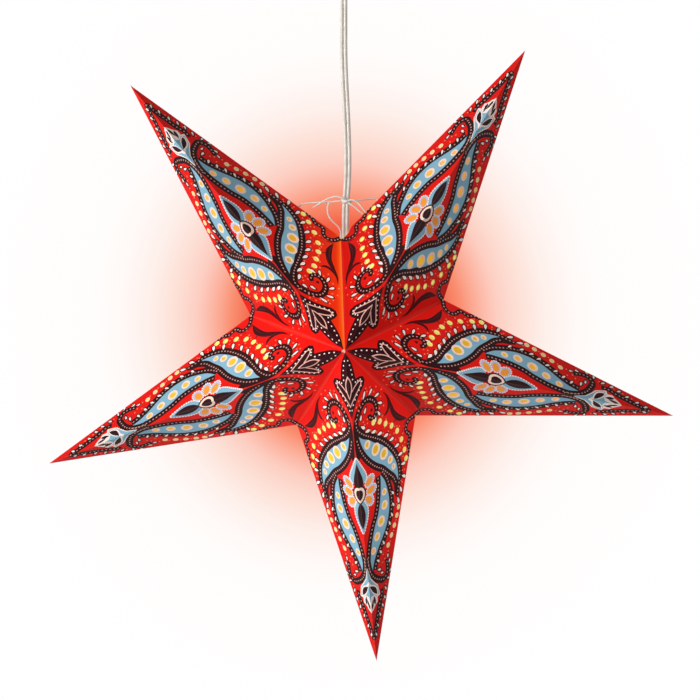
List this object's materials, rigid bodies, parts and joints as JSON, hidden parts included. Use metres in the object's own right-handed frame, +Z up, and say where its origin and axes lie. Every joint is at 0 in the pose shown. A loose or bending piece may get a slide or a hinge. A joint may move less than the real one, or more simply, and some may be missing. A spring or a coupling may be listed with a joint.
{
  "type": "paper star lantern",
  "caption": "Folded card star lantern with printed ornament and tissue-backed windows, lit by a bulb inside, hung on a flat flex from a small ceiling rose.",
  "frame": {"origin": "centre of the ceiling rose's top face, which lies on the ceiling", "axes": "+Z up, out of the rose's top face; the star's front faces -Y; +X to the right seen from the front"},
  "size_m": [0.5687, 0.2, 0.6589],
  "materials": {
    "printed_card": "matt printed card, red ground with dark brown, blue, pale pink and orange ornament",
    "tissue": "thin yellow tissue that glows when lit from behind",
    "string": "twisted off-white cotton string",
    "flex_sheath": "white flat twin sheath, satin",
    "holder_plastic": "moulded white, satin gloss",
    "ceramic": "unglazed white insulator",
    "brass": "bright brass",
    "steel": "plated steel",
    "shell_metal": "pressed sheet",
    "opal_bulb": "opal, warm white when lit",
    "rose_plastic": "moulded white, satin gloss"
  },
  "bodies": {
    "root": {"arm_upper_left": "printed_card", "arm_upper_right": "printed_card", "arm_right": "printed_card", "arm_bottom": "printed_card", "arm_left": "printed_card", "tissue_upper_left": "tissue", "tissue_upper_right": "tissue", "tissue_right": "tissue", "tissue_bottom": "tissue", "tissue_left": "tissue", "tie_string_left": "string", "tie_string_right": "string", "tie_string_loop": "string", "tie_knot": "string", "tie_ends": "string", "flex": "flex_sheath", "holder_cap": "holder_plastic", "grip_screw": "steel", "holder_terminals": "brass", "terminal_screws": "steel", "insulator": "ceramic", "screw_shell": "shell_metal", "centre_contact": "brass", "holder_skirt": "holder_plastic", "bulb": "opal_bulb", "rose_base": "rose_plastic", "rose_terminal_block": "rose_plastic", "rose_terminals": "brass", "rose_cover": "rose_plastic", "rose_grip": "rose_plastic"}
  },
  "joints": []
}
